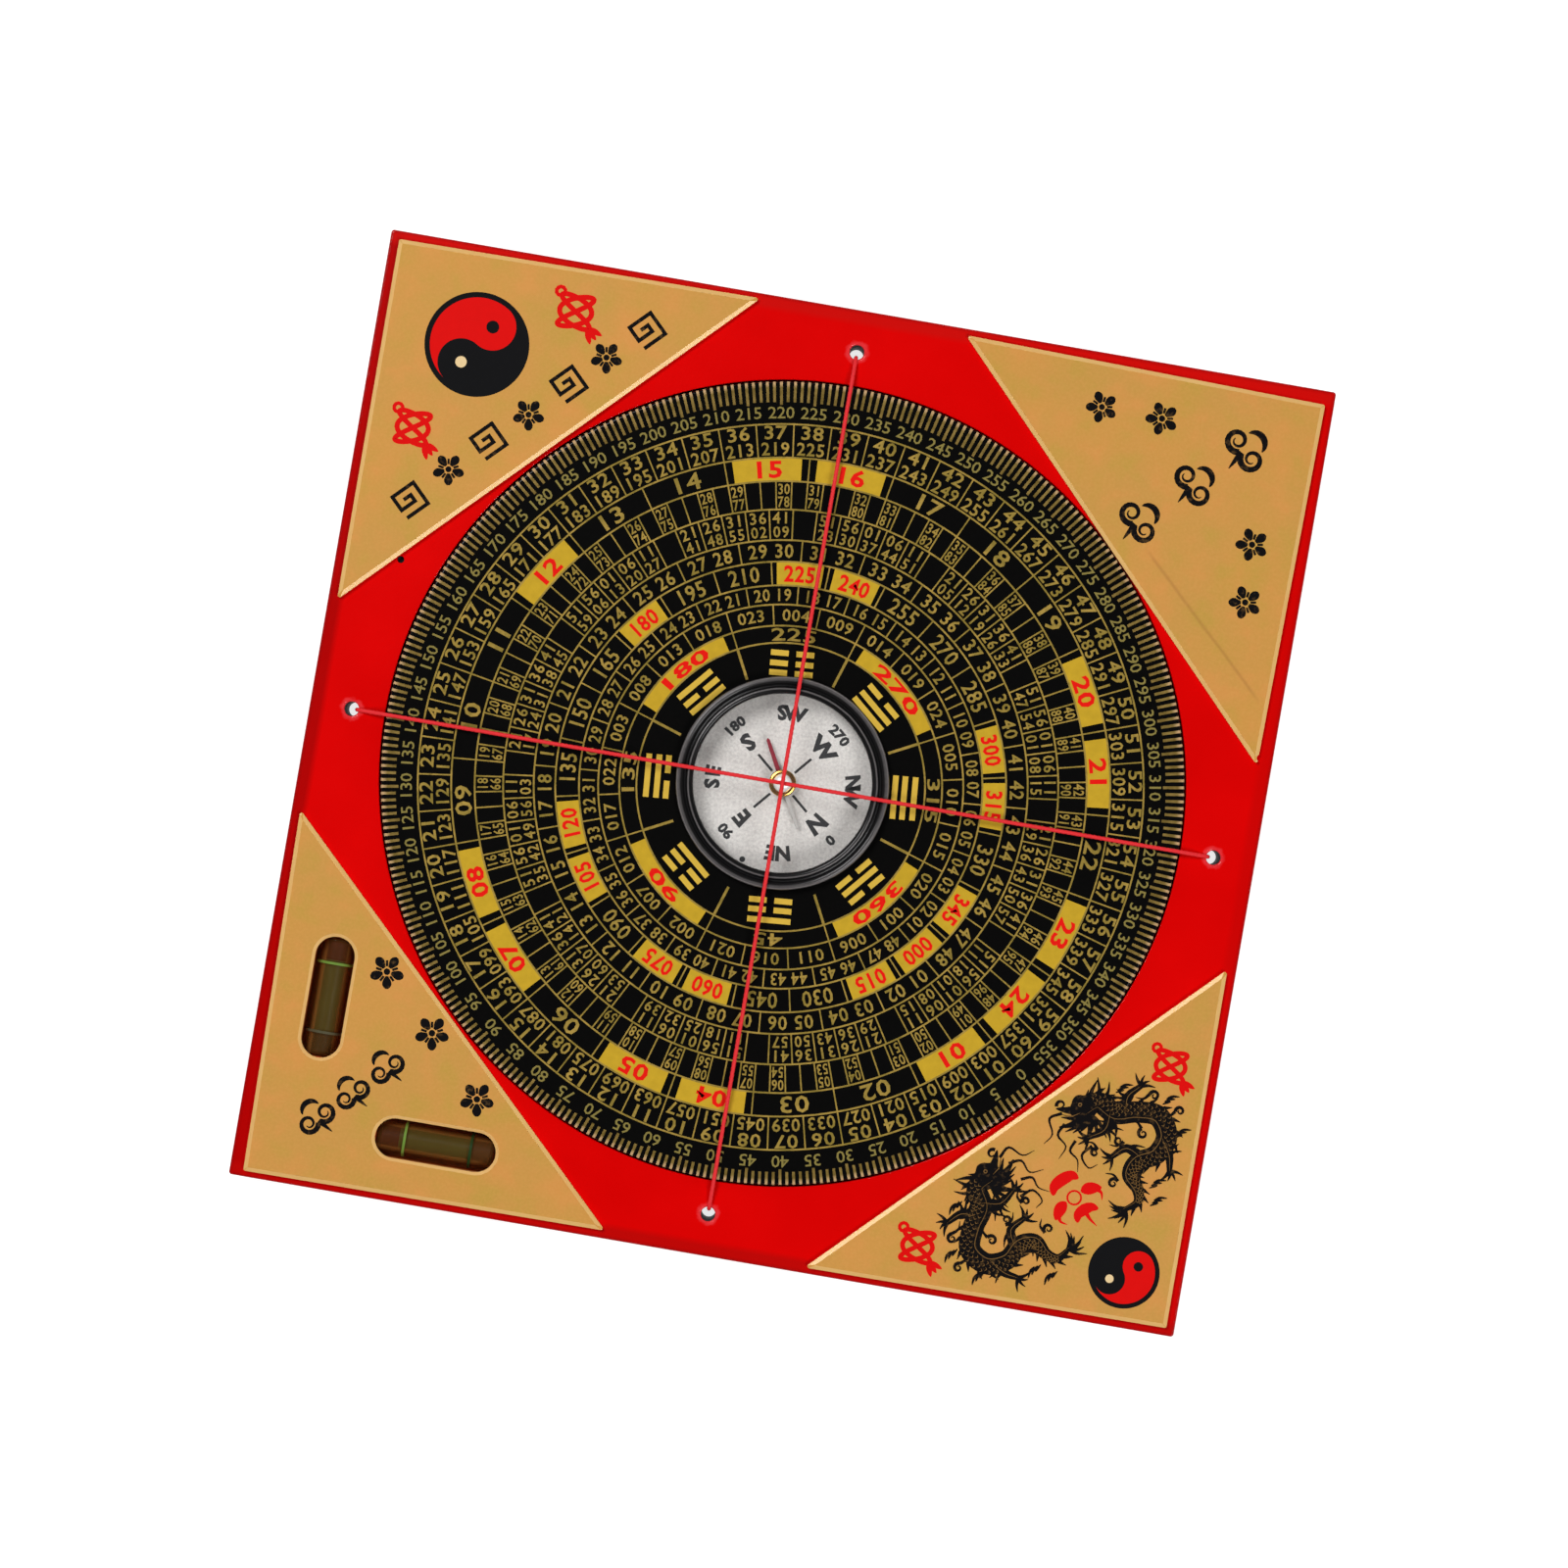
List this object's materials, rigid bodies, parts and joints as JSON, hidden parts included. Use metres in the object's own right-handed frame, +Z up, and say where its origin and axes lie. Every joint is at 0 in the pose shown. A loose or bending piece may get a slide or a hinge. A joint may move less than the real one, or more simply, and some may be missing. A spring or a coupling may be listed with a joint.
{
  "type": "feng shui compass",
  "caption": "Square luopan: red board with a turning black ring dial round a capsule compass, gold corner plates, spirit vials and crossed sight threads.",
  "frame": {"origin": "centre of the felt underside that the board rests on", "axes": "+Z up out of the dial, +X to the board's right and +Y to its back edge, with the two vials at the front left"},
  "size_m": [0.15, 0.15, 0.0166],
  "materials": {
    "red_lacquer": "glossy red lacquer",
    "felt": "wine red felt",
    "gold_plate": "satin gold with a bevelled edge",
    "dial_black": "satin black with gold print",
    "hub_black": "turned black nylon",
    "screw_zinc": "zinc plated",
    "case_black": "moulded black",
    "card_silver": "matt silver",
    "lens_clear": "clear",
    "bezel_black": "satin black",
    "pin_steel": "polished point",
    "needle_red": "one half red, the other bare",
    "cap_brass": "polished",
    "thread_red": "waxed red thread",
    "vial_clear": "clear",
    "vial_olive": "olive liquid",
    "vial_bubble": "air",
    "vial_plug": "dark red resin"
  },
  "bodies": {
    "board": {"base_plate": "red_lacquer", "backing_felt": "felt", "corner_plate_back_left": "gold_plate", "corner_plate_back_right": "gold_plate", "corner_plate_front_right": "gold_plate", "corner_plate_front_left": "gold_plate", "sight_thread_x": "thread_red", "sight_thread_y": "thread_red", "vial_x_tube": "vial_clear", "vial_x_liquid": "vial_olive", "vial_x_plug_left": "vial_plug", "vial_x_plug_right": "vial_plug", "vial_y_tube": "vial_clear", "vial_y_liquid": "vial_olive", "vial_y_plug_front": "vial_plug", "vial_y_plug_back": "vial_plug"},
    "dial": {"dial_disc": "dial_black", "hub_bush": "hub_black", "hub_screw_1": "screw_zinc", "hub_screw_2": "screw_zinc", "hub_screw_3": "screw_zinc", "capsule_case": "case_black", "compass_card": "card_silver", "lens": "lens_clear", "bezel_ring": "bezel_black", "pivot_pin": "pin_steel"},
    "needle": {"needle": "needle_red", "needle_cap": "cap_brass"},
    "vial_x_bubble": {"vial_x_bubble": "vial_bubble"},
    "vial_y_bubble": {"vial_y_bubble": "vial_bubble"}
  },
  "joints": [
    {"name": "dial_turn", "type": "hinge", "parent": "board", "child": "dial", "pos_m": [0, 0, 0.0078], "axis": [0, 0, 1], "continuous": true},
    {"name": "needle_swing", "type": "hinge", "parent": "dial", "child": "needle", "pos_m": [0, 0, 0.011], "axis": [0, 0, 1], "continuous": true},
    {"name": "bubble_x_slide", "type": "slide", "parent": "board", "child": "vial_x_bubble", "axis": [1, 0, 0], "range_m": [-0.002, 0.002]},
    {"name": "bubble_y_slide", "type": "slide", "parent": "board", "child": "vial_y_bubble", "axis": [0, 1, 0], "range_m": [-0.002, 0.002]}
  ]
}
